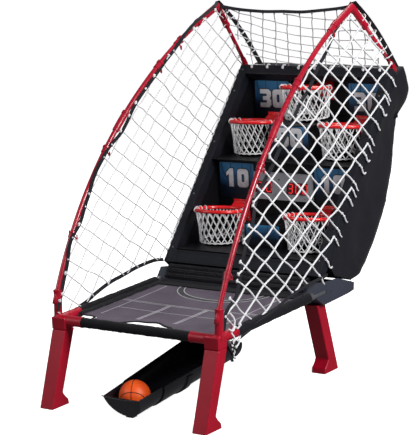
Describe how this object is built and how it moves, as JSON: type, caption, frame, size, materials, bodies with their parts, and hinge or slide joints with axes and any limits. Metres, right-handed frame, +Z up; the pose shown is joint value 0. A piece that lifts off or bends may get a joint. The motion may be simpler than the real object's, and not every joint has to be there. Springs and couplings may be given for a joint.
{
  "type": "basketball hoop machine",
  "caption": "Tabletop basketball game: a cloth court on legs runs to a raked board of net hoops with an electronic scorer, fenced by nets on bowed poles, with a ball return trough.",
  "frame": {"origin": "on the floor under the middle of the machine's box", "axes": "+X to the player's right, +Y away from the player, +Z up"},
  "size_m": [0.59, 1.1818, 1.0642],
  "materials": {
    "red_plastic": "moulded, semi-gloss deep red",
    "red_tube": "gloss deep red powder coat on steel tube",
    "bare_steel": "plain drawn steel tube",
    "court_cloth": "woven mesh cloth, grey purple with light court lines",
    "grey_plastic": "moulded, satin dark grey",
    "black_plastic": "moulded, satin black",
    "black_board": "thin moulded board, satin black",
    "scorer_plastic": "moulded, satin grey",
    "lens_plastic": "dark red clear window with a lit red display behind",
    "button_plastic": "glossy grey push button",
    "circuit_board": "green circuit board",
    "rim_red": "moulded, gloss bright red",
    "paddle_black": "moulded black",
    "hoop_net": "white knotted cord",
    "safety_net": "white knotted netting with a black strap edge",
    "bag_cloth": "thin black woven polyester",
    "ball_rubber": "pebbled orange rubber with black seams"
  },
  "bodies": {
    "machine": {"ball_bag": "bag_cloth", "ball_ramp": "grey_plastic", "base_tray": "grey_plastic", "battery_block": "black_board", "bottom_rail": "black_board", "centre_block": "black_board", "circuit_board": "circuit_board", "corner_left": "red_plastic", "corner_right": "red_plastic", "court_fabric": "court_cloth", "elbow_left": "red_plastic", "elbow_right": "red_plastic", "front_bar": "bare_steel", "front_leg_left": "red_plastic", "front_leg_right": "red_plastic", "hinge_strip": "black_plastic", "hoop_net_low_left": "hoop_net", "hoop_net_low_right": "hoop_net", "hoop_net_mid_left": "hoop_net", "hoop_net_mid_right": "hoop_net", "hoop_net_top": "hoop_net", "lower_back": "black_board", "lower_floor": "black_board", "pole_lower_left": "red_tube", "pole_lower_right": "red_tube", "pole_upper_left": "red_tube", "pole_upper_right": "red_tube", "rear_leg_left": "red_plastic", "rear_leg_right": "red_plastic", "return_channel": "black_plastic", "rim_low_left": "rim_red", "rim_low_right": "rim_red", "rim_mid_left": "rim_red", "rim_mid_right": "rim_red", "rim_top": "rim_red", "scorer_case": "scorer_plastic", "scorer_lens": "lens_plastic", "side_bar_left": "bare_steel", "side_bar_right": "bare_steel", "side_net_left": "safety_net", "side_net_right": "safety_net", "side_rail_left": "black_board", "side_rail_right": "black_board", "side_wall_left": "black_board", "side_wall_right": "black_board", "strut_left": "red_tube", "strut_right": "red_tube", "top_net": "safety_net", "top_rail": "black_board", "trough_front": "black_plastic", "trough_rear": "black_plastic", "upper_back": "black_board", "upper_floor": "black_board"},
    "ball": {"ball": "ball_rubber"},
    "paddle_low_left": {"paddle_low_left": "paddle_black"},
    "paddle_low_right": {"paddle_low_right": "paddle_black"},
    "paddle_mid_left": {"paddle_mid_left": "paddle_black"},
    "paddle_mid_right": {"paddle_mid_right": "paddle_black"},
    "paddle_top": {"paddle_top": "paddle_black"},
    "score_button": {"score_button": "button_plastic"}
  },
  "joints": [
    {"name": "ball_roll", "type": "slide", "parent": "machine", "child": "ball", "axis": [0, 0.9928, 0.1201], "range_m": [0, 0.325]},
    {"name": "score_button_press", "type": "slide", "parent": "machine", "child": "score_button", "axis": [0, 0.9845, -0.1752], "range_m": [0, 0.0018], "stiffness_N_per_m": 300, "springref_m": -0.001},
    {"name": "paddle_low_left_tip", "type": "hinge", "parent": "machine", "child": "paddle_low_left", "pos_m": [-0.1624, 0.2679, 0.3968], "axis": [1, 0, 0], "range_deg": [0, 35], "stiffness_Nm_per_rad": 0.02, "springref_deg": -17.19},
    {"name": "paddle_low_right_tip", "type": "hinge", "parent": "machine", "child": "paddle_low_right", "pos_m": [0.1624, 0.2679, 0.3968], "axis": [1, 0, 0], "range_deg": [0, 35], "stiffness_Nm_per_rad": 0.02, "springref_deg": -17.19},
    {"name": "paddle_mid_left_tip", "type": "hinge", "parent": "machine", "child": "paddle_mid_left", "pos_m": [-0.1644, 0.4863, 0.6396], "axis": [1, 0, 0], "range_deg": [0, 35], "stiffness_Nm_per_rad": 0.02, "springref_deg": -17.19},
    {"name": "paddle_mid_right_tip", "type": "hinge", "parent": "machine", "child": "paddle_mid_right", "pos_m": [0.1644, 0.4863, 0.6396], "axis": [1, 0, 0], "range_deg": [0, 35], "stiffness_Nm_per_rad": 0.02, "springref_deg": -17.19},
    {"name": "paddle_top_tip", "type": "hinge", "parent": "machine", "child": "paddle_top", "pos_m": [0, 0.5318, 0.7457], "axis": [1, 0, 0], "range_deg": [0, 35], "stiffness_Nm_per_rad": 0.02, "springref_deg": -17.19}
  ]
}
